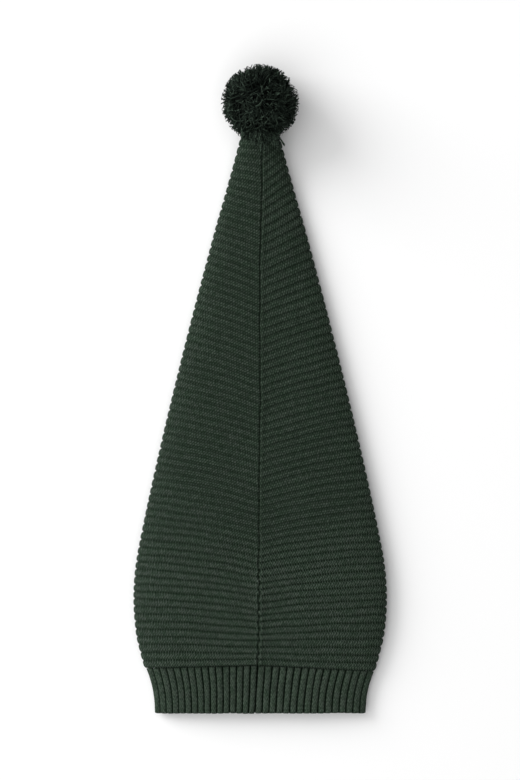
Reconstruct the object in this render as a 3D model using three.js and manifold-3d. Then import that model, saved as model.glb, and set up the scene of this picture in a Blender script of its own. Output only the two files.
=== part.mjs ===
import * as THREE from "three";
import { mergeVertices } from "three/addons/utils/BufferGeometryUtils.js";
import Module from "manifold-3d";

// A knitted elf hat with a pompom, lying flat with its back seam on top. Sizes are in millimetres.
// While it is built, the hem is at y = 0, the hat's middle at x = 0 and what it lies on at z = 0.

// Cuff, knitted in ribs that run along the hat
const cuffHeight = 48; // along the seam
const hemWidth = 209;
const hemThickness = 15; // both layers and the air between them
const cuffWall = 2.6;
const cuffFlare = 2.1; // power of the curve from the hem out to the crown
const ribRelief = 1.8;
const ribsPerQuarter = 16; // between the seam and a fold
const ribTopShare = 0.56; // of a rib's pitch, taken by its flat top
const cuffRows = [0, 0.55, 1]; // shares of the cuff's height

// Crown, knitted in ridges that run round the hat
const crownLength = 535; // along the seam
const crownWidth = 252;
const crownThickness = 22;
const crownWall = 2.4;
const crownOverhang = 2.4; // the first ridge stands out this far past the cuff
const ridgeCount = 70;
const ridgeRelief = 1.7;
const ridgeGrowth = 1.55; // the last ridge's pitch over the first one's
const ridgeBend = 1 / 3; // how much steeper than its mean a ridge leaves the seam, without ease
const ridgesPerInnerRow = 5;
const tipRidges = 2; // solid ridges past the end of the hollow
const tipLift = 16; // the tip rises this far to meet the pompom

// Seam up the middle of the back
const seamWidth = 3.2;
const seamDepth = 1.6; // below a groove
const seamAllowance = 1.5; // stands in from the wall, inside
const hemSeamOffset = -6; // the seam leans to the left across the cuff

// Pompom
const pompomDiameter = 76;
const pompomSettled = 2; // pressed flat where it lies
const coreDetail = 2;
const lockCount = 64;
const lockSides = 4;
const lockLength = 9; // out of the core
const lockWidth = 15;
const lockShoulder = 0.55; // of the lock's length, where it starts to round off
const lockSpread = 0.3; // of the lock's length, lost by the shortest lock
const lockMix = 3; // radians from one lock's length to the next, so that they look mixed
const tipSunk = 9; // the tip goes this far into the pompom
const socketRidges = 7; // the ridges that the pompom makes room for

const clearance = 0.3; // between pieces

// Shape of a cross-section
const foldHeight = 0.45; // the widest point, as a share of the thickness
const topRoundness = 3; // 2 is an ellipse, and more is flatter
const underRoundness = 1.9; // 1 is an ellipse, and more is flatter
const stepsToFold = 6; // the crown's columns between the seam and a fold
const stepsUnder = 7; // the crown's columns from fold to fold underneath

// The crown's outline, from the cuff to the tip. along is a share of its length, and the others
// are shares of crownWidth, crownThickness and tipLift.
const crownSections = [
  { along: -0.02, width: 0.895, thickness: 0.77, lift: 0 },
  { along: 0.02, width: 0.943, thickness: 0.85, lift: 0 },
  { along: 0.06, width: 0.981, thickness: 0.94, lift: 0 },
  { along: 0.12, width: 1, thickness: 1, lift: 0 },
  { along: 0.18, width: 0.987, thickness: 1, lift: 0 },
  { along: 0.25, width: 0.935, thickness: 0.99, lift: 0 },
  { along: 0.4, width: 0.797, thickness: 0.95, lift: 0 },
  { along: 0.6, width: 0.592, thickness: 0.86, lift: 0 },
  { along: 0.8, width: 0.37, thickness: 0.76, lift: 0 },
  { along: 0.88, width: 0.274, thickness: 0.71, lift: 0.1 },
  { along: 0.95, width: 0.191, thickness: 0.67, lift: 0.5 },
  { along: 1.02, width: 0.115, thickness: 0.6, lift: 1 },
];

// How far up the hat each ridge reaches its folds, past where it meets the seam, as shares of
// crownWidth. ridge is a share of the ridges, from the cuff. leftEase and rightEase are 0 where a
// ridge leaves the seam at its steepest, and 1 where it leaves it level and climbs halfway out.
const foldRises = [
  { ridge: 0, left: -0.012, right: -0.024, leftEase: 0.5, rightEase: 0.5 },
  { ridge: 0.07, left: 0.024, right: 0.016, leftEase: 0.2, rightEase: 0.2 },
  { ridge: 0.14, left: 0.044, right: 0.04, leftEase: 0, rightEase: 0 },
  { ridge: 0.28, left: 0.075, right: 0.067, leftEase: 0, rightEase: 0 },
  { ridge: 0.43, left: 0.093, right: 0.095, leftEase: 0, rightEase: 0.1 },
  { ridge: 0.6, left: 0.093, right: 0.092, leftEase: 0, rightEase: 0.3 },
  { ridge: 0.72, left: 0.083, right: 0.086, leftEase: 0.1, rightEase: 0.7 },
  { ridge: 0.86, left: 0.046, right: 0.076, leftEase: 0.3, rightEase: 1 },
  { ridge: 0.95, left: 0.013, right: 0.028, leftEase: 0.4, rightEase: 1 },
  { ridge: 1, left: 0, right: 0, leftEase: 0.4, rightEase: 1 },
];

// How far the seam wanders to the right of the middle, as a share of crownWidth.
const seamPath = [
  { along: 0, across: -0.003 },
  { along: 0.15, across: -0.007 },
  { along: 0.3, across: -0.012 },
  { along: 0.5, across: -0.004 },
  { along: 0.7, across: 0.001 },
  { along: 0.85, across: 0.001 },
  { along: 1, across: 0.01 },
];

const wasm = await Module();
wasm.setup();

// A smooth curve through one column of a table, read at a value of its first column.
function follow(table, key, at, column) {
  const last = table.length - 1;
  const x = THREE.MathUtils.clamp(at, table[0][key], table[last][key]);
  let i = 0;
  while (i < last - 1 && x > table[i + 1][key]) i += 1;
  const span = table[i + 1][key] - table[i][key];
  const slopeAt = (row) => {
    const before = table[Math.max(row - 1, 0)];
    const after = table[Math.min(row + 1, last)];
    return ((after[column] - before[column]) / (after[key] - before[key])) * span;
  };
  const t = (x - table[i][key]) / span;
  const start = (1 + 2 * t) * (1 - t) ** 2 * table[i][column];
  const end = t * t * (3 - 2 * t) * table[i + 1][column];
  return start + end + t * (1 - t) ** 2 * slopeAt(i) - t * t * (1 - t) * slopeAt(i + 1);
}

// A column is a place round the hat. On top, side is 1 to the right of the seam and -1 to its left,
// offset is a distance from the seam and reach the share of what is left to the fold. Underneath,
// across runs from 1 at the right-hand fold to -1 at the left-hand one.
function topColumn(side, reach, offset = 0) {
  return { under: false, side, reach, offset, level: 0, seam: reach === 0 && offset === 0 };
}

function underColumn(across) {
  return { under: true, across, level: 0, seam: false };
}

// A point on a cross-section, grown outwards by grow. middleRelief is half the depth of its ridges or
// ribs, whose tops touch what the hat lies on.
function sectionPoint(section, column, grow, middleRelief) {
  const halfWidth = section.halfWidth + grow;
  const fold = section.lift + foldHeight * section.thickness;
  if (column.under) {
    const drop = Math.min(1, underRoundness * Math.sqrt(1 - column.across ** 2));
    const bottom = section.lift + middleRelief - grow;
    return { x: halfWidth * column.across, z: fold - (fold - bottom) * drop };
  }
  const toFold = halfWidth - column.side * section.seamX - column.offset;
  const x = section.seamX + column.side * (column.offset + column.reach * toFold);
  const roundness = Math.sqrt(1 - Math.min(1, Math.abs(x / halfWidth)) ** topRoundness);
  const top = section.lift + section.thickness + grow;
  return { x, z: fold + (top - fold) * roundness };
}

function crownSection(along) {
  const read = (column) => follow(crownSections, "along", along, column);
  return {
    halfWidth: (crownWidth * read("width")) / 2,
    thickness: crownThickness * read("thickness"),
    lift: tipLift * Math.max(0, read("lift")),
    seamX: crownWidth * follow(seamPath, "along", along, "across"),
  };
}

// Where a ridge lies along the hat. The ridges grow evenly wider apart towards the tip.
function ridgeY(column, ridge) {
  const growth = (ridgeGrowth - 1) / 2;
  const along = (ridge * (1 + growth * ridge)) / (1 + growth);
  const read = (name) => follow(foldRises, "ridge", ridge, name);
  const { lerp, smoothstep } = THREE.MathUtils;
  const seamY = cuffHeight + crownLength * along;
  if (column.under) {
    return seamY + crownWidth * lerp(read("left"), read("right"), (column.across + 1) / 2);
  }
  const hand = column.side < 0 ? "left" : "right";
  const steepFirst = column.reach * (1 + ridgeBend * (1 - column.reach));
  const climb = lerp(steepFirst, smoothstep(column.reach, 0, 1), read(hand + "Ease"));
  return seamY + crownWidth * read(hand) * climb;
}

function crownPoint(column, ridge, grow) {
  const y = ridgeY(column, ridge);
  const section = crownSection((y - cuffHeight) / crownLength);
  const { x, z } = sectionPoint(section, column, grow, ridgeRelief / 2);
  return new THREE.Vector3(x, y, z);
}

// A closed surface through rings of points. With poles it closes on them, as a ball does, and
// without them its last ring meets its first one, as a tube's does.
function loft(rings, poles) {
  const around = rings[0].length;
  const points = rings.flat();
  const faces = [];
  const quad = (lower, upper) => {
    for (let i = 0; i < around; i += 1) {
      const next = (i + 1) % around;
      const [a, b] = [lower * around + i, lower * around + next];
      const [c, d] = [upper * around + i, upper * around + next];
      faces.push(a, b, d, a, d, c);
    }
  };
  for (let ring = 1; ring < rings.length; ring += 1) quad(ring - 1, ring);
  if (poles) {
    const [start, end] = [points.length, points.length + 1];
    const lastRing = (rings.length - 1) * around;
    points.push(...poles);
    for (let i = 0; i < around; i += 1) {
      const next = (i + 1) % around;
      faces.push(start, next, i, end, lastRing + i, lastRing + next);
    }
  } else {
    quad(rings.length - 1, 0);
  }
  return new THREE.BufferGeometry().setFromPoints(points).setIndex(faces);
}

function centreOf(ring) {
  const sum = ring.reduce((total, point) => total.add(point), new THREE.Vector3());
  return sum.divideScalar(ring.length);
}

// Round the crown from the seam: over the right-hand side, back underneath, and over the left.
function crownColumns() {
  const side = (sign) => {
    const columns = [topColumn(sign, 0, seamWidth / 2)];
    for (let i = 1; i < stepsToFold; i += 1) {
      columns.push(topColumn(sign, Math.sin((Math.PI / 2) * (i / stepsToFold)), seamWidth / 2));
    }
    return columns;
  };
  const under = [];
  for (let i = 0; i <= stepsUnder; i += 1) {
    under.push(underColumn(Math.cos((Math.PI * i) / stepsUnder)));
  }
  return [topColumn(1, 0), ...side(1), ...under, ...side(-1).reverse()];
}

function crown() {
  const columns = crownColumns();
  const outerRing = (ridge, level) =>
    columns.map((column) => {
      const point = crownPoint(column, ridge, (column.seam ? -0.5 : level - 0.5) * ridgeRelief);
      if (column.seam) point.z -= seamDepth;
      return point;
    });
  const innerRing = (ridge) =>
    columns.map((column) => {
      const point = crownPoint(column, ridge, -ridgeRelief / 2 - crownWall);
      if (column.seam) point.z -= seamAllowance;
      return point;
    });
  const rings = [];
  const innerEnd = 1 - tipRidges / ridgeCount;
  const innerRows = Math.round(ridgeCount / ridgesPerInnerRow);
  for (let i = innerRows; i >= 0; i -= 1) rings.push(innerRing((innerEnd * i) / innerRows));
  for (let i = 0; i <= 2 * ridgeCount; i += 1) rings.push(outerRing(i / (2 * ridgeCount), i % 2));
  return loft(rings, [centreOf(rings[0]), centreOf(rings[rings.length - 1])]);
}

// The curve of one quarter of the cuff, so that its ribs can be spaced evenly along it.
class CuffQuarter extends THREE.Curve {
  constructor(section, columnAt) {
    super();
    this.section = section;
    this.columnAt = columnAt;
  }

  getPoint(t, target = new THREE.Vector3()) {
    const { x, z } = sectionPoint(this.section, this.columnAt(t), 0, ribRelief / 2);
    return target.set(x, 0, z);
  }
}

function cuffSection(share) {
  const upper = crownSection(0);
  const flare = share ** cuffFlare;
  const { lerp } = THREE.MathUtils;
  return {
    halfWidth: lerp(hemWidth / 2, upper.halfWidth - crownOverhang, flare),
    thickness: lerp(hemThickness, upper.thickness - crownOverhang, share),
    lift: 0,
    seamX: lerp(hemSeamOffset, upper.seamX, share),
  };
}

// Three columns for each rib: its groove and the two edges of its flat top.
function cuffColumns() {
  const parts = [
    { count: ribsPerQuarter, columnAt: (t) => topColumn(1, t) },
    { count: 2 * ribsPerQuarter, columnAt: (t) => underColumn(Math.cos(Math.PI * t)) },
    { count: ribsPerQuarter, columnAt: (t) => topColumn(-1, 1 - t) },
  ];
  const middle = cuffSection(0.5);
  return parts.flatMap(({ count, columnAt }) => {
    const curve = new CuffQuarter(middle, columnAt);
    const columns = [];
    for (let rib = 0; rib < count; rib += 1) {
      [0, (1 - ribTopShare) / 2, (1 + ribTopShare) / 2].forEach((part) => {
        const column = columnAt(curve.getUtoTmapping((rib + part) / count));
        columns.push({ ...column, level: part === 0 ? 0 : 1 });
      });
    }
    return columns;
  });
}

function cuff() {
  const columns = cuffColumns();
  const ring = (share, inset) =>
    columns.map((column) => {
      const grow = (column.level - 0.5) * ribRelief - inset;
      const { x, z } = sectionPoint(cuffSection(share), column, grow, ribRelief / 2);
      const y = (ridgeY(column, 0) - clearance) * share;
      const seamDip = inset ? seamAllowance : seamDepth / 2;
      return new THREE.Vector3(x, y, column.seam ? z - seamDip : z);
    });
  const outside = cuffRows.map((share) => ring(share, 0));
  const inside = cuffRows.map((share) => ring(share, cuffWall)).reverse();
  return loft([...outside, ...inside]);
}

function solidOf(geometry) {
  const bare = new THREE.BufferGeometry();
  bare.setAttribute("position", geometry.getAttribute("position"));
  bare.setIndex(geometry.index);
  const merged = mergeVertices(bare, 1e-4);
  const mesh = new wasm.Mesh({
    numProp: 3,
    vertProperties: merged.getAttribute("position").array,
    triVerts: new Uint32Array(merged.index.array),
  });
  return new wasm.Manifold(mesh);
}

function geometryOf(solid) {
  const mesh = solid.getMesh();
  const geometry = new THREE.BufferGeometry();
  geometry.setAttribute("position", new THREE.BufferAttribute(mesh.vertProperties, mesh.numProp));
  geometry.setIndex(new THREE.BufferAttribute(mesh.triVerts, 1));
  return geometry;
}

// The room that the crown's tip takes in the pompom.
function tipSocket() {
  const columns = crownColumns();
  const grow = ridgeRelief / 2 + clearance;
  const deepest = new THREE.Vector3(0, clearance, 0);
  const rings = [];
  for (let i = socketRidges; i >= 0; i -= 1) {
    rings.push(columns.map((column) => crownPoint(column, 1 - i / ridgeCount, grow)));
  }
  rings.push(rings[socketRidges].map((point) => point.clone().add(deepest)));
  return solidOf(loft(rings, [centreOf(rings[0]), centreOf(rings[rings.length - 1])]));
}

// A lock of yarn along y. It starts inside the core, and its end is rounded off to a point.
function lock(length) {
  const shoulder = lockShoulder * length;
  const profile = [
    new THREE.Vector2(0, -lockLength),
    new THREE.Vector2(lockWidth / 2, -lockLength),
    new THREE.Vector2(lockWidth / 2, shoulder),
    new THREE.Vector2(0, length),
  ];
  return new THREE.LatheGeometry(profile, lockSides);
}

// Locks stand out of a round core, spread over it on a golden spiral.
function pompom() {
  const radius = pompomDiameter / 2;
  const coreRadius = radius - lockLength;
  const core = new THREE.IcosahedronGeometry(coreRadius, coreDetail);
  core.setIndex([...Array(core.getAttribute("position").count).keys()]);
  const goldenAngle = Math.PI * (3 - Math.sqrt(5));
  const locks = [];
  for (let i = 0; i < lockCount; i += 1) {
    const height = 1 - (2 * (i + 0.5)) / lockCount;
    const out = Math.sqrt(1 - height ** 2);
    const turn = goldenAngle * i;
    const way = new THREE.Vector3(out * Math.cos(turn), out * Math.sin(turn), height);
    const lost = (lockSpread * (1 - Math.cos(lockMix * i))) / 2;
    const tuft = lock(lockLength * (1 - lost));
    tuft.rotateY(i);
    tuft.translate(0, coreRadius, 0);
    tuft.applyQuaternion(new THREE.Quaternion().setFromUnitVectors(new THREE.Vector3(0, 1, 0), way));
    locks.push(solidOf(tuft));
  }
  const floor = new THREE.BoxGeometry(pompomDiameter, pompomDiameter, radius);
  floor.translate(0, 0, -radius - radius / 2 + pompomSettled);
  const tipY = cuffHeight + crownLength;
  return wasm.Manifold.union([solidOf(core), ...locks])
    .subtract(solidOf(floor))
    .translate([0, tipY + radius - tipSunk, radius - pompomSettled])
    .subtract(tipSocket());
}

function piece(name, geometry, material) {
  const mesh = new THREE.Mesh(geometry, material);
  mesh.name = name;
  return mesh;
}

const knit = new THREE.MeshStandardMaterial({ color: 0x2b362d, roughness: 0.95, metalness: 0 });
const rib = new THREE.MeshStandardMaterial({ color: 0x2c372e, roughness: 0.95, metalness: 0 });
const yarn = new THREE.MeshStandardMaterial({ color: 0x1a221c, roughness: 1, metalness: 0 });

const hat = new THREE.Group();
hat.add(piece("crown", crown(), knit));
hat.add(piece("cuff", cuff(), rib));
hat.add(piece("pompom", geometryOf(pompom()), yarn));

// The origin is under the middle of the hat, on what it lies on.
const box = new THREE.Box3().setFromObject(hat, true);
const middle = box.getCenter(new THREE.Vector3());
hat.position.set(-middle.x, -middle.y, -box.min.z);

export default hat;
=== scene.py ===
import math

import bpy
import numpy as np
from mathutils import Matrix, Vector, noise


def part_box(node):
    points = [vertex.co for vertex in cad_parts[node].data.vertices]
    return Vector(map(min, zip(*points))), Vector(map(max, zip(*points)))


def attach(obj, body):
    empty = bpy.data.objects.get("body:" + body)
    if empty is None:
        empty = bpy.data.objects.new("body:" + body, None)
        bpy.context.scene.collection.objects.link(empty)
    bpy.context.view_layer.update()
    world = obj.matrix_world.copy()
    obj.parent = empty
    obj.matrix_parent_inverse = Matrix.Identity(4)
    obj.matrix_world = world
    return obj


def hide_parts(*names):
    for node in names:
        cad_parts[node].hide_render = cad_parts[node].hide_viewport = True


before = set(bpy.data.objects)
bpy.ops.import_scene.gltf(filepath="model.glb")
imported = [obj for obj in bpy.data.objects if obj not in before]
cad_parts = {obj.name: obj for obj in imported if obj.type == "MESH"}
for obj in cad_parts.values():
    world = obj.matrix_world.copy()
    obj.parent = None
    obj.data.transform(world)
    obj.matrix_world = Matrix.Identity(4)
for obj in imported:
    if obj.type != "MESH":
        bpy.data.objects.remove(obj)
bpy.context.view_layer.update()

# The hat lies with its back seam up: +Y from the hem to the pompom, z = 0 is what it lies on.
crownLow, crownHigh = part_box("crown")
cuffLow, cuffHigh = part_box("cuff")
pompomLow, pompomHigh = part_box("pompom")

# What the crown and the cuff share
hat = {
    "cuffHeight": 0.048,      # along the seam
    "crownThickness": 0.022,  # both layers and the air between them
    "tipLift": 0.016,         # the tip rises this far to the pompom
    "foldHeight": 0.45,       # the widest point, as a share of the thickness
    "topRoundness": 3,        # more is flatter
    "underRoundness": 1.9,    # more is flatter
    "hemSeamOffset": -0.0054,  # the seam leans left across the cuff
}

crownSettings = {
    "ridges": 70,
    "ridgeRelief": 0.0017,
    "ridgeGrowth": 1.55,      # the last ridge's pitch over the first one's
    "rollPower": 3.4,         # more makes the grooves narrower
    "upperRollPower": 2.2,
    "rowsPerRidge": 8,
    "rowShift": 0.07,         # of a ridge, which brings the rows closer in the grooves
    "wall": 0.0024,
    "innerRows": 40,
    "tipRidges": 2,           # past the end of the hollow
    "rimRows": [0.35, 0.7],   # shares of the wall
    "stepsToFold": 34,
    "foldward": 0.6,          # how much the columns crowd towards the folds
    "stepsUnder": 40,
    "wander": 0.16,           # of a ridge, how far ridges stray
    "lumps": 0.0007,
    # the grooves are wider, shallower and more open above this share of the ridges
    "opensAt": 0.18,
    "opensOver": 0.15,
    "shallow": 0.3,
    "waleWidth": 0.00262,
    "coursesPerRidge": 3,
}

# The back seam. Lengths across are from the seam.
seamSettings = {
    "steps": [0, 0.0006, 0.0012, 0.0019, 0.0027, 0.0037, 0.005],
    "depth": 0.0018,
    "halfWidth": 0.001,
    "roundness": 0.8,
    "margin": 0.0036,         # the flat strip on its right
    "marginFade": 0.0018,
    "leftFade": 0.002,
    "grooveDepth": 0.25,      # of the grooves' depth that is left beside it
    "stitchAt": 0.0024,
    "stitchWidth": 0.0009,
    "stitchHeight": 0.0003,
    # near the cuff it is puckered and winds from side to side
    "puckeredRidges": 15,
    "puckerFade": 3,
    "puckerHeight": 0.001,
    "puckerSway": 0.0009,
    "puckerTurns": 0.55,      # a ridge
    "swayReach": 0.012,
    # painted shade along the seam's groove, and painted highlights on its stitches
    "shadeWidth": 0.0007,
    "shade": 0.45,
    "puckerShade": 0.4,
    "dashes": 0.45,
    "paintedStitchHighlight": 0.5,
}

cuffSettings = {
    "hemWidth": 0.2104,
    "hemThickness": 0.015,
    "overhang": 0.0024,       # the crown's first ridge stands out this far past the cuff
    "flare": 2.1,
    "gap": 0.0003,
    "wall": 0.0026,
    "ribRelief": 0.0018,
    "grooveDepth": 0.0008,    # deeper than the solid's
    "ribPower": 6.0,
    "ribsPerQuarter": 16,
    "ribSteps": [0, 0.06, 0.13, 0.24, 0.5, 0.76, 0.87, 0.94],
    "outerRows": 26,
    "innerRows": 14,
    "rimRows": 3,
    "rimBulge": 0.0009,
    "edgeRoom": 0.0006,       # what the bulge of the hem and the rim needs
    "seamFade": [1, 0.6, 0.1, 0],  # column by column from the seam
    "seamDepth": 0.0022,
    "seamNotch": 0.0012,      # in the hem
    "notchPower": 12,
    "hemPower": 8,
    "swayUnder": 0.4,         # of the sway on top
    "walesPerRib": 3,
    "courseHeight": 0.0024,
}

# How uneven the knitting is. across is for each metre of the crown or each rib of the cuff, along
# is for each ridge of the crown or the whole height of the cuff, and more changes faster.
unevenness = {
    "ridgeStray":  {"across": 24, "along": 0.35, "amount": 1, "seed": 1},
    "fineStray":   {"across": 75, "along": 0.9, "amount": 0.35, "seed": 2},
    "ridgeDepth":  {"across": 60, "along": 0.8, "amount": 0.5, "seed": 3},
    "seamSway":    {"across": 0, "along": 0.4, "amount": 0.0009, "seed": 5},
    "fineSway":    {"across": 0, "along": 2.3, "amount": 0.0004, "seed": 9},
    "openness":    {"across": 18, "along": 0.22, "amount": 0.5, "seed": 12},
    "ribDepth":    {"across": 0.7, "along": 0, "amount": 0.3, "seed": 10},
    "ribSway":     {"across": 0.37, "along": 2.2, "amount": 0.0005, "seed": 6},
    "fineRibSway": {"across": 3.1, "along": 7, "amount": 0.00025, "seed": 11},
    "hem":         {"across": 0.3, "along": 0, "amount": 0.0006, "seed": 13},
}

# The crown's outline. along is a share of its length from the cuff.
crownSections = {
    "along":     [-0.02, 0.02, 0.06, 0.12, 0.18, 0.25, 0.4, 0.6, 0.8, 0.88, 0.95, 1.02],
    "width":     [0.895, 0.943, 0.981, 1, 0.987, 0.935, 0.797, 0.592, 0.37, 0.274, 0.191, 0.115],
    "thickness": [0.77, 0.85, 0.94, 1, 1, 0.99, 0.95, 0.86, 0.76, 0.71, 0.67, 0.6],
    "lift":      [0, 0, 0, 0, 0, 0, 0, 0, 0, 0.1, 0.5, 1],
}

# How far each ridge climbs from the seam to the folds, and how much of the climb comes first.
foldRises = {
    "ridge":     [0, 0.07, 0.14, 0.28, 0.43, 0.6, 0.72, 0.86, 0.95, 1],
    "left":      [-0.012, 0.024, 0.044, 0.075, 0.093, 0.093, 0.083, 0.046, 0.013, 0],
    "right":     [-0.024, 0.016, 0.04, 0.067, 0.095, 0.092, 0.09, 0.086, 0.07, 0.04],
    "leftBend":  [0, 0.8, 0.8, 0.6, 0.4, 0.3, 0.25, 0.15, 0.1, 0],
    "rightBend": [0, 0.8, 0.8, 0.6, 0.4, 0.2, 0.12, 0.1, 0.1, 0],
}

seamPath = {
    "along":  [0, 0.04, 0.15, 0.3, 0.5, 0.7, 0.85, 0.95, 1],
    "across": [-0.0095, -0.005, -0.0036, -0.004, 0, 0.0004, 0.0065, 0.009, 0.0125],
}

crownWidth = 0.252
crownFoot = cuffLow.y + hat["cuffHeight"]
crownLength = crownHigh.y - crownFoot


def follow(table, column, at):
    # a smooth curve through one column of a table, read at its first column
    xs = np.array(next(iter(table.values())), float)
    ys = np.array(table[column], float)
    at = np.clip(at, xs[0], xs[-1])
    slopes = np.empty_like(ys)
    slopes[1:-1] = (ys[2:] - ys[:-2]) / (xs[2:] - xs[:-2])
    slopes[0] = (ys[1] - ys[0]) / (xs[1] - xs[0])
    slopes[-1] = (ys[-1] - ys[-2]) / (xs[-1] - xs[-2])
    i = np.clip(np.searchsorted(xs, at, side="right") - 1, 0, len(xs) - 2)
    span = xs[i + 1] - xs[i]
    t = (at - xs[i]) / span
    start = (1 + 2 * t) * (1 - t) ** 2 * ys[i] + t * (1 - t) ** 2 * slopes[i] * span
    end = t * t * (3 - 2 * t) * ys[i + 1] - t * t * (1 - t) * slopes[i + 1] * span
    return start + end


def smooth(t):
    t = np.clip(t, 0, 1)
    return t * t * (3 - 2 * t)


def crownSection(along):
    return {
        "halfWidth": crownWidth * follow(crownSections, "width", along) / 2,
        "thickness": hat["crownThickness"] * follow(crownSections, "thickness", along),
        "lift": hat["tipLift"] * np.maximum(0, follow(crownSections, "lift", along)),
        "seamX": crownWidth * follow(seamPath, "across", along),
    }


def cuffSection(share):
    upper = crownSection(0)
    flare = share ** cuffSettings["flare"]
    topHalf = upper["halfWidth"] - cuffSettings["overhang"]
    topThick = upper["thickness"] - cuffSettings["overhang"]
    return {
        "halfWidth": cuffSettings["hemWidth"] / 2 * (1 - flare) + topHalf * flare,
        "thickness": cuffSettings["hemThickness"] * (1 - share) + topThick * share,
        "lift": 0 * share,
        "seamX": hat["hemSeamOffset"] * (1 - share) + upper["seamX"] * share,
    }


def topColumns(side, reach, offset=0.0):
    # on top of the hat: offset from the seam, then a share of what is left to the fold
    reach = np.atleast_1d(np.array(reach, float))
    return {"under": np.zeros(len(reach), bool), "side": np.full(len(reach), float(side)),
            "reach": reach, "offset": np.zeros(len(reach)) + offset, "across": 0 * reach}


def underColumns(across):
    across = np.atleast_1d(np.array(across, float))
    return {"under": np.ones(len(across), bool), "side": np.zeros(len(across)),
            "reach": 0 * across, "offset": 0 * across, "across": across}


def joinColumns(*parts):
    return {key: np.concatenate([part[key] for part in parts]) for key in parts[0]}


def sectionPoint(section, columns, grow, middleRelief):
    # x and z of a point on a cross-section that is grown outwards by grow
    halfWidth = section["halfWidth"] + grow
    fold = section["lift"] + hat["foldHeight"] * section["thickness"]
    drop = np.minimum(1, hat["underRoundness"] * np.sqrt(np.maximum(0, 1 - columns["across"] ** 2)))
    bottom = section["lift"] + middleRelief - grow
    underX = halfWidth * columns["across"]
    underZ = fold - (fold - bottom) * drop
    toFold = halfWidth - columns["side"] * section["seamX"] - columns["offset"]
    topX = section["seamX"] + columns["side"] * (columns["offset"] + columns["reach"] * toFold)
    round3 = np.minimum(1, np.abs(topX / halfWidth)) ** hat["topRoundness"]
    top = section["lift"] + section["thickness"] + grow
    topZ = fold + (top - fold) * np.sqrt(1 - round3)
    return np.where(columns["under"], underX, topX), np.where(columns["under"], underZ, topZ)


def ridgeAlong(ridge):
    # where a ridge lies at the seam; both are shares, of the ridges and of the length
    growth = (crownSettings["ridgeGrowth"] - 1) / 2
    return ridge * (1 + growth * ridge) / (1 + growth)


def ridgeY(columns, ridge):
    along = ridgeAlong(ridge)
    left, right = (crownWidth * follow(foldRises, name, ridge) for name in ("left", "right"))
    leftBend, rightBend = (follow(foldRises, name, ridge) for name in ("leftBend", "rightBend"))
    isLeft = columns["side"] < 0
    section = crownSection(along)
    toFold = section["halfWidth"] - columns["side"] * section["seamX"]
    reach = columns["reach"] + (1 - columns["reach"]) * columns["offset"] / toFold
    climb = reach * (1 + np.where(isLeft, leftBend, rightBend) * (1 - reach))
    onTop = np.where(isLeft, left, right) * climb
    below = left + (right - left) * (columns["across"] + 1) / 2
    return crownFoot + crownLength * along + np.where(columns["under"], below, onTop)


def waleLean(side, ridge):
    # wales cross the ridges squarely, so that the sloping ones lean by this much
    fine = np.linspace(0, 1, 200)
    along = ridgeAlong(fine)
    rise = crownWidth * follow(foldRises, side, fine)
    slope = rise / np.hypot(rise, crownSection(along)["halfWidth"])
    lean = np.cumsum(slope * np.gradient(crownLength * along))
    return np.interp(ridge, fine, lean - lean[0])


def setValue(mesh, name, values):
    attribute = mesh.attributes.new(name, "FLOAT", "POINT")
    attribute.data.foreach_set("value", values)


def knitPanel(name, positions, waleAt, courseAt, marks):
    # a flat panel is wrapped into the hat's shape and sewn up where its edges meet
    rows, columns = positions.shape[0] - 1, positions.shape[1] - 1
    bpy.ops.object.select_all(action="DESELECT")
    bpy.ops.mesh.primitive_grid_add(x_subdivisions=columns, y_subdivisions=rows, size=1)
    panel = bpy.context.active_object
    panel.name = name
    mesh = panel.data
    flat = np.empty(len(mesh.vertices) * 3)
    mesh.vertices.foreach_get("co", flat)
    flat = flat.reshape(-1, 3)
    column = np.rint((flat[:, 0] + 0.5) * columns).astype(int)
    row = np.rint((flat[:, 1] + 0.5) * rows).astype(int)
    mesh.vertices.foreach_set("co", positions[row, column].ravel())
    corners = np.empty(len(mesh.loops), int)
    mesh.loops.foreach_get("vertex_index", corners)
    uv = np.stack([waleAt[row, column], courseAt[row, column]], axis=1)[corners]
    layer = mesh.uv_layers.active
    layer.name = "knit"
    layer.data.foreach_set("uv", uv.ravel())
    for mark, values in marks.items():
        setValue(mesh, mark, values[row, column])
    bpy.ops.object.mode_set(mode="EDIT")
    bpy.ops.mesh.select_all(action="SELECT")
    bpy.ops.mesh.remove_doubles(threshold=0.00002)
    bpy.ops.mesh.normals_make_consistent(inside=False)
    bpy.ops.object.mode_set(mode="OBJECT")
    bpy.ops.object.shade_smooth()
    return panel


def noiseAt(x, y, z, seed):
    points = np.stack(np.broadcast_arrays(x, y, z), axis=-1)
    shape = points.shape[:-1]
    offset = Vector((seed * 7.3, seed * 3.1, seed * 5.7))
    values = [noise.noise(Vector(p) + offset) for p in points.reshape(-1, 3)]
    return np.array(values).reshape(shape)


def unevenAt(name, across, along):
    u = unevenness[name]
    return u["amount"] * noiseAt(u["across"] * across, 0, u["along"] * along, u["seed"])


def crownColumns():
    # round the crown from the seam: right half of the back, the front underneath, left half
    c, seamSteps = crownSettings, np.array(seamSettings["steps"])
    even = np.arange(1, c["stepsToFold"] + 1) / c["stepsToFold"]
    outward = c["foldward"] * np.sin(np.pi / 2 * even) + (1 - c["foldward"]) * even
    halves = {}
    for side in (1, -1):
        besideSeam = topColumns(side, 0 * seamSteps, seamSteps)
        halves[side] = joinColumns(besideSeam, topColumns(side, outward, seamSteps[-1]))
    left = {key: values[::-1] for key, values in halves[-1].items()}
    across = np.cos(np.pi * np.arange(c["stepsUnder"] + 1) / c["stepsUnder"])
    return joinColumns(halves[1], underColumns(across), left)


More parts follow.
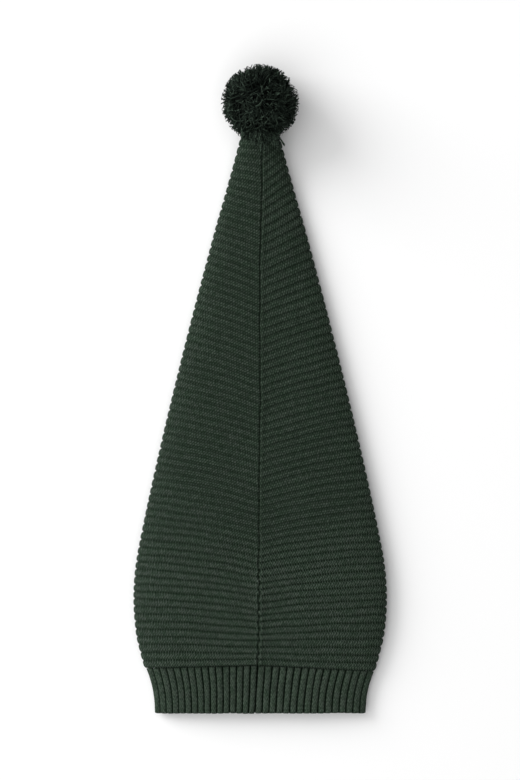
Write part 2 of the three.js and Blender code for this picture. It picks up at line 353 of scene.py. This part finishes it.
def crownRows():
    # down the outside from the tip, round the rim, and up the inside
    c = crownSettings
    steps = np.arange(c["ridges"] * c["rowsPerRidge"], -1, -1) / c["rowsPerRidge"]
    phase = steps % 1
    outer = np.floor(steps) + phase - c["rowShift"] * np.sin(2 * np.pi * phase)
    inner = np.linspace(0, c["ridges"] - c["tipRidges"], c["innerRows"])
    rim = np.array(c["rimRows"])
    ridge = np.concatenate([outer, 0 * rim, inner])
    inset = np.concatenate([0 * outer, rim, 0 * inner + 1])
    return ridge[:, None], inset[:, None]


def crownWales(columns, share, x, y, z):
    # stitches are counted from the seam on the back, and from the middle on the front
    steps = np.diff(x) ** 2 + np.diff(y) ** 2 + np.diff(z) ** 2
    length = np.concatenate([0 * share, np.cumsum(np.sqrt(steps), axis=1)], axis=1)
    middle = np.argmin(np.where(columns["under"], np.abs(columns["across"]), 1))
    wale = length - length[:, middle:middle + 1]
    wale = np.where(columns["side"] > 0, length + waleLean("right", share), wale)
    wale = np.where(columns["side"] < 0, length - length[:, -1:] - waleLean("left", share), wale)
    wale = wale / crownSettings["waleWidth"]
    wale = np.concatenate([wale[:1], wale, wale[-1:]])
    return np.concatenate([wale, wale[:, -1:]], axis=1)


def makeCrown():
    c, seam = crownSettings, seamSettings
    columns = crownColumns()
    ridge, inset = crownRows()
    share = ridge / c["ridges"]
    fromSeam = np.where(columns["under"], 1, columns["offset"] + columns["reach"])
    onLeft = columns["side"] < 0
    onTop = np.where(columns["under"], 0, 1)

    plainY = ridgeY(columns, share)
    acrossHat, plainZ = sectionPoint(crownSection((plainY - crownFoot) / crownLength), columns, 0, 0)
    stray = unevenAt("ridgeStray", acrossHat, ridge) + unevenAt("fineStray", acrossHat, ridge)
    stray = stray * smooth(ridge / 2) * c["wander"]
    y = ridgeY(columns, np.clip((ridge + stray) / c["ridges"], 0, 1))
    section = crownSection((y - crownFoot) / crownLength)

    # ridges, which keep their full height where the hat folds over
    upper = smooth((share - c["opensAt"]) / c["opensOver"]) * onTop * (1 - columns["reach"] ** 6)
    power = c["rollPower"] + (c["upperRollPower"] - c["rollPower"]) * upper
    roll = 1 - np.abs(2 * (ridge % 1) - 1) ** power
    pastMargin = smooth((fromSeam - seam["margin"]) / seam["marginFade"] + 0.3)
    nearSeam = np.where(onLeft, smooth(fromSeam / seam["leftFade"]), pastMargin)
    depth = seam["grooveDepth"] + (1 - seam["grooveDepth"]) * nearSeam
    depth = depth * (1 + unevenAt("ridgeDepth", acrossHat, ridge)) * (1 - c["shallow"] * upper)
    grow = c["ridgeRelief"] * (0.5 - (1 - roll) * depth)

    # stitches along the seam
    puckered = 1 - smooth((ridge - seam["puckeredRidges"]) / seam["puckerFade"])
    stitch = np.exp(-((fromSeam - seam["stitchAt"]) / seam["stitchWidth"]) ** 2) * onTop
    stitch = stitch * np.abs(np.sin(np.pi * (ridge + 0.5 * onLeft + 4 * stray)))
    grow = grow + stitch * (seam["stitchHeight"] + seam["puckerHeight"] * puckered)
    innerGrow = -c["ridgeRelief"] / 2 - c["wall"]
    grow = grow * (1 - inset) + innerGrow * inset
    x, z = sectionPoint(section, columns, grow, c["ridgeRelief"] / 2)

    groove = np.maximum(0, 1 - fromSeam / seam["halfWidth"]) ** seam["roundness"] * onTop
    z = z - groove * seam["depth"] * (1 - 0.5 * inset)
    lumps = noiseAt(x * 22, y * 22, 0, 4) + 0.5 * noiseAt(x * 60, y * 60, 0, 8)
    top = np.where(columns["under"], 0, 1 - columns["reach"] ** 4)
    z = np.maximum(z + c["lumps"] * lumps * top * (1 - inset), 0)
    sway = unevenAt("seamSway", 0 * ridge, ridge) + unevenAt("fineSway", 0 * ridge, ridge)
    sway = sway + seam["puckerSway"] * puckered * np.sin(2 * np.pi * seam["puckerTurns"] * ridge)
    x = x + sway * onTop * np.exp(-fromSeam / seam["swayReach"]) * smooth(ridge)

    # both ends are closed
    positions = np.stack([x, y + 0 * x, z], axis=-1)
    positions = np.concatenate([positions[:1], positions, positions[-1:]])
    positions[0] = positions[0].mean(axis=0)
    positions[-1] = positions[-1].mean(axis=0)
    positions = np.concatenate([positions, positions[:, :1]], axis=1)

    wale = crownWales(columns, share, acrossHat, plainY, plainZ)
    course = np.concatenate([ridge[:1], ridge, ridge[-1:]]) * c["coursesPerRidge"] + 0 * wale
    # painted shade along the seam's groove, darker where it is puckered and broken into dashes at the
    # ridges, with painted highlights on the stitches beside it taken off
    paintedSeamShade = np.exp(-(fromSeam / seam["shadeWidth"]) ** 2) * onTop * (1 - inset)
    paintedSeamShade = paintedSeamShade * (seam["shade"] + seam["puckerShade"] * puckered)
    paintedSeamShade = paintedSeamShade * (1 - seam["dashes"] + seam["dashes"] * np.cos(2 * np.pi * ridge))
    paintedSeamShade = paintedSeamShade - seam["paintedStitchHighlight"] * puckered * stitch
    opened = upper * (1 + unevenAt("openness", acrossHat, ridge))
    marks = {"paintedSeamShade": paintedSeamShade, "open": np.clip(opened, 0, 1)}
    for mark, values in marks.items():
        values = np.concatenate([values[:1], values, values[-1:]])
        marks[mark] = np.concatenate([values, values[:, :1]], axis=1)
    return knitPanel("crown_knit", positions, wale, course, marks)


def rightOfSeam(turn):
    return topColumns(1, turn)


def leftOfSeam(turn):
    return topColumns(-1, 1 - turn)


def underneath(turn):
    return underColumns(np.cos(np.pi * turn))


def evenly(columnsAt, count, parts):
    # columns for count ribs that are equally wide round the middle of the cuff
    fine = np.linspace(0, 1, 800)
    x, z = sectionPoint(cuffSection(0.5), columnsAt(fine), 0, cuffSettings["ribRelief"] / 2)
    length = np.concatenate([[0], np.cumsum(np.hypot(np.diff(x), np.diff(z)))])
    places = (np.arange(count)[:, None] + np.array(parts)[None, :]).ravel() / count
    return columnsAt(np.interp(places, length / length[-1], fine))


def makeCuff():
    c = cuffSettings
    steps, quarter = c["ribSteps"], c["ribsPerQuarter"]
    columns = joinColumns(evenly(rightOfSeam, quarter, steps), evenly(underneath, 2 * quarter, steps),
                          evenly(leftOfSeam, quarter, steps))
    ribs = np.arange(len(columns["side"])) // len(steps)
    across = np.tile(np.array(steps), 4 * quarter)
    fromSeam = np.minimum(np.arange(len(across)), len(across) - np.arange(len(across)))
    seam = np.interp(fromSeam, np.arange(len(c["seamFade"])), c["seamFade"])

    # up the outside from the hem, over the rim, down the inside and round the hem
    up = np.linspace(0, 1, c["outerRows"])
    down = np.linspace(1, 0, c["innerRows"])
    rim = np.linspace(0, 1, c["rimRows"] + 2)[1:-1]
    share = np.concatenate([up, 0 * rim + 1, down, 0 * rim])[:, None]
    inset = np.concatenate([0 * up, rim, 0 * down + 1, rim[::-1]])[:, None]
    edge = np.concatenate([0 * up, np.sin(np.pi * rim), 0 * down, -np.sin(np.pi * rim)])[:, None]

    rib = 1 - np.abs(2 * across - 1) ** c["ribPower"]
    innerRib = 1 - np.abs(2 * ((across + 0.5) % 1) - 1) ** c["ribPower"]
    depth = c["ribRelief"] + c["grooveDepth"] * ~columns["under"]
    depth = depth * (1 + unevenAt("ribDepth", ribs, 0))
    outerGrow = c["ribRelief"] / 2 - (1 - rib) * depth
    innerGrow = (0.5 - innerRib) * c["ribRelief"] - c["wall"]
    grow = outerGrow * (1 - inset) + innerGrow * inset
    x, z = sectionPoint(cuffSection(share), columns, grow, c["ribRelief"] / 2)
    z = np.maximum(z - seam * (1 - inset) * c["seamDepth"], 0)
    sway = unevenAt("ribSway", ribs, share) + unevenAt("fineRibSway", ribs, share)
    x = x + sway * np.where(columns["under"], c["swayUnder"], 1 - columns["reach"] ** 4)

    # from the hem up to the crown
    rimY = ridgeY(columns, 0) - c["gap"] - cuffLow.y
    y = cuffLow.y + c["edgeRoom"] + (rimY - 2 * c["edgeRoom"]) * share
    y = y + c["rimBulge"] * edge * (0.2 + 0.8 * rib)
    y = y - unevenAt("hem", ribs, 0) * (1 - share) ** c["hemPower"]
    y = y + c["seamNotch"] * seam * (1 - share) ** c["notchPower"]
    positions = np.stack([x, y + 0 * x, z], axis=-1)
    positions = np.concatenate([positions, positions[:1]])
    positions = np.concatenate([positions, positions[:, :1]], axis=1)
    wale = np.append(ribs + across, 4 * quarter) * c["walesPerRib"]
    wale = wale[None, :] + np.zeros((len(positions), 1))
    course = np.append(share, share[:1]) * hat["cuffHeight"] / c["courseHeight"]
    # painted shade along the seam's groove
    paintedSeamShade = np.append(seam, seam[:1]) * np.append(1 - inset, 1 - inset[:1])[:, None]
    marks = {"paintedSeamShade": paintedSeamShade, "open": 0 * paintedSeamShade}
    return knitPanel("cuff_knit", positions, wale, course[:, None] + 0 * wale, marks)


pompomSettings = {
    "ends": 6000,
    "yarnRadius": 0.00082,
    "yarnCuts": [0.62, 0.85],  # where an end is divided, as shares of its length
    "yarnAlong": [0, 0.85, 1],
    "yarnWidths": [0.9, 1, 0.6],
    "low": 0.0028,            # how far its middle sags towards the hem
    "sink": 0.0008,           # how far it is pressed flat on the surface
    "root": 0.7,              # of the ball's radius, where the ends start
    "core": 0.8,
    "shortest": 0.79,
    "longest": 0.98,
    "furthest": 1.07,         # for any end but those on the hat's tip
    "scatter": 0.05,
    "tuftSize": 5.5,          # more makes smaller tufts
    "tuftPull": 0.46,
    "tuftHeight": 0.3,
    "tuftHeightSize": 6.1,
    "lumps": 0.04,
    "lumpSize": 1.9,
    "swirlAt": (-0.176, 0.189, 0.966),  # the ends lean away from here
    "swirl": 0.5,             # of the lean
    "lean": 0.19,
    "leanSize": 4.3,
    "stray": 0.9,             # of the lean, how far single ends turn from it
    "overTip": 0.28,          # how much longer the ends that lie on the hat's tip are
    "stiffOverTip": 0.8,      # and how much of their lean they lose
    "tipFrom": 0.76,          # and how squarely they face the hem
    "tipFade": 0.12,
    "tipWide": 0.5,
    "tonePower": 3,           # more makes fewer light ends
    "tonePatches": 0.5,
    "patchSize": 3.4,
    # the ends on the hat's tip are painted lighter, as lit outside the ball's shade
    "tipTones": [0.2, 1.8],
    "coreTone": 0.3,
    "clearance": 0.0002,      # above the surface
    "seed": 7,
    "noiseSeed": 3,           # noise_vector starts from the clock without one
}


def makeYarnEnd():
    # one cut end of yarn, along +Z from 0 to 1
    bpy.ops.object.select_all(action="DESELECT")
    bpy.ops.mesh.primitive_cylinder_add(vertices=3, radius=1, depth=1, location=(0, 0, 0.5))
    bpy.ops.object.transform_apply(location=True)
    bpy.ops.object.mode_set(mode="EDIT")
    for height in pompomSettings["yarnCuts"]:
        bpy.ops.mesh.select_all(action="SELECT")
        bpy.ops.mesh.bisect(plane_co=(0, 0, height), plane_no=(0, 0, 1))
    bpy.ops.object.mode_set(mode="OBJECT")
    return bpy.context.active_object


def noiseOver(ways, scale, offset=(0, 0, 0)):
    return np.array([noise.noise(Vector(way) * scale + Vector(offset)) for way in ways])


def turnOver(ways, scale, offset=(0, 0, 0)):
    return np.array([noise.noise_vector(Vector(way) * scale + Vector(offset)) for way in ways])


def makePompom():
    p = pompomSettings
    rng = np.random.default_rng(p["seed"])
    noise.seed_set(p["noiseSeed"])
    radius = (pompomHigh.x - pompomLow.x) / 2
    middle = (pompomLow + pompomHigh) / 2
    centre = np.array([middle.x, middle.y - p["low"], radius - p["sink"]])

    ball = makeYarnEnd()
    ball.name = "pompom_yarn"
    copies = ball.modifiers.new("ends", "ARRAY")
    copies.count = p["ends"]
    copies.use_relative_offset = False
    bpy.ops.object.modifier_apply(modifier=copies.name)
    mesh = ball.data
    one = np.empty(len(mesh.vertices) * 3)
    mesh.vertices.foreach_get("co", one)
    one = one.reshape(p["ends"], -1, 3)

    # evenly over the ball, then gathered into tufts
    index = np.arange(p["ends"]) + 0.5
    height = 1 - 2 * index / p["ends"]
    turn = math.pi * (3 - math.sqrt(5)) * index
    out = np.sqrt(1 - height ** 2)
    way = np.stack([out * np.cos(turn), out * np.sin(turn), height], axis=1)
    way = way + p["scatter"] * rng.uniform(-1, 1, way.shape)
    way = way + p["tuftPull"] * turnOver(way, p["tuftSize"])
    way = way / np.linalg.norm(way, axis=1)[:, None]
    tip = rng.uniform(p["shortest"], p["longest"], p["ends"])
    tip = tip + p["tuftHeight"] * noiseOver(way, p["tuftHeightSize"])
    tip = radius * (tip + p["lumps"] * noiseOver(way, p["lumpSize"], (5, 2, 7)))

    # combed away from the swirl
    swirl = np.array(p["swirlAt"])
    facing = np.maximum(0, way @ swirl)
    lean = way - facing[:, None] * swirl
    lean = p["swirl"] * lean / np.linalg.norm(lean, axis=1)[:, None]
    lean = lean + 2 * turnOver(way, p["leanSize"], (3, 8, 1))
    lean = lean + p["stray"] * rng.normal(size=lean.shape)
    lean = lean - np.sum(lean * way, axis=1, keepdims=True) * way
    onTip = smooth((-way[:, 1] - p["tipFrom"]) / p["tipFade"])
    onTip = onTip * (way[:, 2] > -p["tipFade"]) * (np.abs(way[:, 0]) < p["tipWide"])
    tip = tip * (1 + p["overTip"] * onTip * rng.random(p["ends"]))

    # each end runs out from its root, bends over, and stays off the surface
    level = one[:, :, 2:3]
    width = p["yarnRadius"] * np.interp(level, p["yarnAlong"], p["yarnWidths"])
    across = np.cross(way, [0.3, 0.5, 0.8])
    across = across / np.linalg.norm(across, axis=1)[:, None]
    other = np.cross(way, across)
    root = p["root"] * radius
    along = root + (tip[:, None, None] - root) * level
    bend = radius * p["lean"] * (1 - p["stiffOverTip"] * onTip)[:, None, None] * level ** 3
    place = centre + way[:, None, :] * along + lean[:, None, :] * bend
    place = place + (across[:, None, :] * one[:, :, :1] + other[:, None, :] * one[:, :, 1:2]) * width
    fromCentre = np.linalg.norm(place - centre, axis=2, keepdims=True)
    furthest = radius * (p["furthest"] + p["overTip"] * onTip)[:, None, None]
    place = centre + (place - centre) * np.minimum(1, furthest / fromCentre)
    place[:, :, 2] = np.maximum(place[:, :, 2], p["clearance"])
    mesh.vertices.foreach_set("co", place.ravel())

    # light and dark ends lie in patches, and those on the hat's tip are painted lighter, as lit outside the
    # ball's shade
    tone = rng.random(p["ends"]) ** p["tonePower"]
    tone = np.clip(tone + p["tonePatches"] * noiseOver(way, p["patchSize"], (9, 4, 2)), 0, 1)
    tone = np.maximum(tone, onTip * rng.uniform(*p["tipTones"], p["ends"]))
    setValue(mesh, "tone", np.repeat(tone, one.shape[1]))
    # how far out each point lies, for the painted shade inside the ball
    setValue(mesh, "depth", (np.linalg.norm(place - centre, axis=2) / radius).ravel())

    # the middle of the ball
    bpy.ops.object.select_all(action="DESELECT")
    bpy.ops.mesh.primitive_ico_sphere_add(subdivisions=4, radius=radius * p["core"], location=centre)
    bpy.ops.object.transform_apply(location=True)
    bpy.ops.object.shade_smooth()
    core = bpy.context.active_object
    setValue(core.data, "tone", np.full(len(core.data.vertices), p["coreTone"]))
    # the core sits at the roots' depth, so it is painted wholly in that shade
    setValue(core.data, "depth", np.full(len(core.data.vertices), p["root"]))
    ball.select_set(True)
    bpy.context.view_layer.objects.active = ball
    bpy.ops.object.join()
    bpy.ops.object.shade_smooth()
    return ball


def newMaterial(name):
    material = bpy.data.materials.new(name)
    material.use_nodes = True
    return material, material.node_tree, material.node_tree.nodes["Principled BSDF"]


def maths(tree, operation, *values):
    node = tree.nodes.new("ShaderNodeMath")
    node.operation = operation
    for socket, value in zip(node.inputs, values):
        if isinstance(value, (int, float)):
            socket.default_value = value
        else:
            tree.links.new(value, socket)
    return node.outputs[0]


def mixColour(tree, factor, first, second):
    node = tree.nodes.new("ShaderNodeMix")
    node.data_type = "RGBA"
    tree.links.new(factor, node.inputs[0])
    for socket, colour in ((node.inputs[6], first), (node.inputs[7], second)):
        if isinstance(colour, tuple):
            socket.default_value = (*colour, 1)
        else:
            tree.links.new(colour, socket)
    return node.outputs[2]


def noiseNode(tree, scale, detail):
    place = tree.nodes.new("ShaderNodeTexCoord")
    node = tree.nodes.new("ShaderNodeTexNoise")
    node.inputs["Scale"].default_value = scale
    node.inputs["Detail"].default_value = detail
    tree.links.new(place.outputs["Object"], node.inputs["Vector"])
    return node.outputs["Fac"]


def attributeNode(tree, name):
    node = tree.nodes.new("ShaderNodeAttribute")
    node.attribute_name = name
    return node.outputs["Fac"]


def wave(tree, value, period):
    # 0 at each multiple of the period, 1 half way
    return maths(tree, "MULTIPLY", maths(tree, "PINGPONG", value, period / 2), 2 / period)


def limited(tree, value):
    return maths(tree, "MAXIMUM", maths(tree, "MINIMUM", value, 1), 0)


def unevenNode(tree, scale, detail, contrast, middle):
    noiseFac = noiseNode(tree, scale, detail)
    return maths(tree, "MULTIPLY_ADD", noiseFac, contrast, middle - contrast / 2)


def woolSurface(shader, roughness):
    shader.inputs["Roughness"].default_value = roughness
    shader.inputs["Specular IOR Level"].default_value = 0.05
    shader.inputs["Sheen Weight"].default_value = 0.03
    shader.inputs["Sheen Roughness"].default_value = 0.5
    shader.inputs["Sheen Tint"].default_value = (0.55, 0.8, 0.6, 1)


# What both knits share
knitLook = {
    # dark is the painted shade in the grooves and between the stitches
    "dark": (0.0022, 0.007, 0.003),
    "light": (0.035, 0.0555, 0.0375),
    "fleck": (0.072, 0.101, 0.075),
    "heatherScale": 460,
    "heatherContrast": 3.8,
    "greyScale": 110,
    "greyContrast": 3,
    "greySaturation": 0.75,
    "uneven": 0.5,            # of a stitch
    "unevenScales": [190, 230],
    "stitchDepth": 0.0005,
    "fuzz": 0.4,              # of the stitches' depth
    "fuzzScale": 1500,
    "roughness": 0.95,
}

# A leg's lean is in wales for each course, then comes its contrast in closed and in open grooves, which
# sets both its bump and its painted shade.
ridgeLook = {
    "foldStitches": crownSettings["coursesPerRidge"],
    "groovesAcross": False,
    "legs": [(-2 / 3, 0.34, 0.28), (1 / 3, 0.26, 0.14), (2 / 3, 0.16, 0)],
    # the painted shade of the grooves, of the holes in them, of open grooves and of the lines between
    # courses
    "grooveSharpness": 2.1,
    "grooveLight": 0.1,
    "grooveHoles": 0.5,
    "openShade": 0.55,
    "openLight": 0.62,
    "courseLines": 0.6,
}
ribLook = {
    "foldStitches": cuffSettings["walesPerRib"],
    "groovesAcross": True,
    "legs": [(-0.5, 0.14, 0), (0.5, 0.14, 0)],
    # the painted shade of the grooves between the ribs and of the holes in them
    "grooveSharpness": 7.0,
    "grooveLight": -0.9,
    "grooveHoles": 0.1,
    "openShade": 0,
    "openLight": 1,
    "courseLines": 0,
}


def knitMaterial(name, settings):
    # stitches from the piece's knit map: wales across U, courses along V
    material, tree, shader = newMaterial(name)
    knitMap = tree.nodes.new("ShaderNodeUVMap")
    knitMap.uv_map = "knit"
    split = tree.nodes.new("ShaderNodeSeparateXYZ")
    tree.links.new(knitMap.outputs[0], split.inputs[0])
    wale, course = split.outputs[0], split.outputs[1]
    foldAlong = wale if settings["groovesAcross"] else course
    fold = wave(tree, foldAlong, settings["foldStitches"])

    # no two stitches are quite alike
    waleScale, courseScale = settings["unevenScales"]
    wale = maths(tree, "ADD", wale, unevenNode(tree, waleScale, 1, settings["uneven"], 0))
    course = maths(tree, "ADD", course, unevenNode(tree, courseScale, 1, settings["uneven"], 0))

    # the legs of a loop lean different ways, and the gaps between them are painted in shade
    openness = attributeNode(tree, "open")
    side = maths(tree, "MULTIPLY_ADD", wave(tree, wale, 1), 2, -1)
    height = 0.5
    for lean, closedContrast, openContrast in settings["legs"]:
        leg = maths(tree, "MULTIPLY_ADD", course, lean, wale)
        leg = maths(tree, "MULTIPLY_ADD", wave(tree, leg, 1), 2, -1)
        contrast = maths(tree, "MULTIPLY_ADD", openness, openContrast - closedContrast, closedContrast)
        height = maths(tree, "MULTIPLY_ADD", leg, contrast, height)
    height = limited(tree, height)

    # painted shade where ridges or ribs meet, with darker painted holes between the stitches there
    holes = maths(tree, "MULTIPLY", side, settings["grooveHoles"])
    groove = maths(tree, "MULTIPLY_ADD", fold, settings["grooveSharpness"], settings["grooveLight"])
    groove = limited(tree, maths(tree, "ADD", groove, holes))

    # open grooves are lighter: their painted shade is wider and paler, and painted shade lines show each
    # course
    wide = maths(tree, "MULTIPLY_ADD", fold, settings["openShade"], settings["openLight"])
    between = maths(tree, "MULTIPLY_ADD", wave(tree, course, 1), -settings["courseLines"], 1)
    wide = maths(tree, "MULTIPLY", wide, between)
    opened = maths(tree, "MULTIPLY", openness, maths(tree, "SUBTRACT", wide, groove))
    groove = maths(tree, "ADD", groove, opened)
    # the painted seam shade darkens the stitches here, and its painted highlights lighten them
    groove = maths(tree, "MULTIPLY", groove, maths(tree, "SUBTRACT", 1, attributeNode(tree, "paintedSeamShade")))

    # heathered yarn, and patches that are a little greyer
    heather = unevenNode(tree, settings["heatherScale"], 1, settings["heatherContrast"], 0.5)
    yarn = mixColour(tree, limited(tree, heather), settings["light"], settings["fleck"])
    patches = unevenNode(tree, settings["greyScale"], 2, settings["greyContrast"], 0.5)
    greyer = tree.nodes.new("ShaderNodeHueSaturation")
    greyer.inputs["Saturation"].default_value = settings["greySaturation"]
    tree.links.new(yarn, greyer.inputs["Color"])
    yarn = mixColour(tree, limited(tree, patches), yarn, greyer.outputs["Color"])
    # painted shade: the yarn is mixed towards dark in the grooves and between the legs
    shade = maths(tree, "MULTIPLY", groove, height)
    tree.links.new(mixColour(tree, shade, settings["dark"], yarn), shader.inputs["Base Color"])

    bump = tree.nodes.new("ShaderNodeBump")
    bump.inputs["Distance"].default_value = settings["stitchDepth"]
    rough = maths(tree, "MULTIPLY_ADD", noiseNode(tree, settings["fuzzScale"], 2), settings["fuzz"], height)
    tree.links.new(rough, bump.inputs["Height"])
    tree.links.new(bump.outputs[0], shader.inputs["Normal"])
    woolSurface(shader, settings["roughness"])
    return material


yarnLook = {
    "dark": (0.0018, 0.0032, 0.0024),
    "light": (0.072, 0.106, 0.078),
    "fleck": (0.003, 0.0052, 0.0038),
    # the deep colour is painted shade inside the ball, faded in by depth as below
    "paintedDeepShade": (0.001, 0.0016, 0.0012),
    "heatherScale": 600,
    "heatherContrast": 3,
    "deepFade": 6,            # how fast it darkens inwards
    "deepLight": -4.7,
    "roughness": 0.9,
}


def yarnMaterial():
    y = yarnLook
    material, tree, shader = newMaterial("pompom_yarn")
    colour = mixColour(tree, attributeNode(tree, "tone"), y["dark"], y["light"])
    heather = unevenNode(tree, y["heatherScale"], 2, y["heatherContrast"], 0.5)
    colour = mixColour(tree, heather, y["fleck"], colour)
    # painted shade that darkens the yarn towards the middle of the ball
    fade = maths(tree, "MULTIPLY_ADD", attributeNode(tree, "depth"), y["deepFade"], y["deepLight"])
    colour = mixColour(tree, limited(tree, fade), y["paintedDeepShade"], colour)
    tree.links.new(colour, shader.inputs["Base Color"])
    woolSurface(shader, y["roughness"])
    return material


stageSettings = {
    "floorSize": 16,
    "floorDrop": 0.0003,      # keeps it clear of the hat's flat side
    "floorColour": (0.9, 0.9, 0.9, 1),
    "cameraPlace": (-0.0002, -0.0009, 6.0),
    "seenWidth": 0.78,
    "seenHeight": 0.01,       # above the floor, where that width is seen
    "evenLight": 0.235,
    "lightDistance": 6.0,
    # the way to each softbox, its size and its power
    "softboxes": {
        "left": {"way": (-0.785, 0.453, 0.423), "size": 4.4, "power": 300},
        "over": {"way": (-0.554, -0.148, 0.819), "size": 16.8, "power": 775},
    },
}


def makeStage():
    s = stageSettings
    bpy.ops.object.select_all(action="DESELECT")
    bpy.ops.mesh.primitive_plane_add(size=s["floorSize"], location=(0, 0, -s["floorDrop"]))
    floor = bpy.context.active_object
    floor.name = "floor"
    material, tree, shader = newMaterial("white_paper")
    shader.inputs["Base Color"].default_value = s["floorColour"]
    shader.inputs["Roughness"].default_value = 0.9
    shader.inputs["Specular IOR Level"].default_value = 0.0
    floor.data.materials.append(material)


def makeLight():
    s = stageSettings
    scene = bpy.context.scene
    scene.view_settings.view_transform = "Standard"
    world = bpy.data.worlds.new("studio")
    scene.world = world
    world.use_nodes = True
    background = world.node_tree.nodes["Background"]
    background.inputs["Color"].default_value = (1, 1, 1, 1)
    background.inputs["Strength"].default_value = s["evenLight"]
    for name, box in s["softboxes"].items():
        way = Vector(box["way"])
        bpy.ops.object.light_add(type="AREA", location=way * s["lightDistance"])
        softbox = bpy.context.active_object
        softbox.name = name + "_softbox"
        softbox.data.shape = "DISK"
        softbox.data.size = box["size"]
        softbox.data.energy = box["power"]
        softbox.rotation_euler = (-way).to_track_quat("-Z", "Y").to_euler()
        softbox.visible_camera = False


def makeCamera():
    s = stageSettings
    bpy.ops.object.camera_add(location=s["cameraPlace"], rotation=(0, 0, 0))
    camera = bpy.context.active_object
    distance = s["cameraPlace"][2] - s["seenHeight"]
    camera.data.lens = camera.data.sensor_width * distance / s["seenWidth"]
    camera.data.clip_end = 50
    bpy.context.scene.camera = camera


crown = makeCrown()
crown.data.materials.append(knitMaterial("ridge_knit", {**knitLook, **ridgeLook}))
print("crown", len(crown.data.polygons))
cuff = makeCuff()
cuff.data.materials.append(knitMaterial("rib_knit", {**knitLook, **ribLook}))
print("cuff", len(cuff.data.polygons))
pompom = makePompom()
pompom.data.materials.append(yarnMaterial())
print("pompom", len(pompom.data.polygons))
for piece, node, slot in ((crown, "crown", "ridge_knit"), (cuff, "cuff", "rib_knit"),
                          (pompom, "pompom", "pompom_yarn")):
    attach(piece, "root")
    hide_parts(node)
makeStage()
makeLight()
makeCamera()
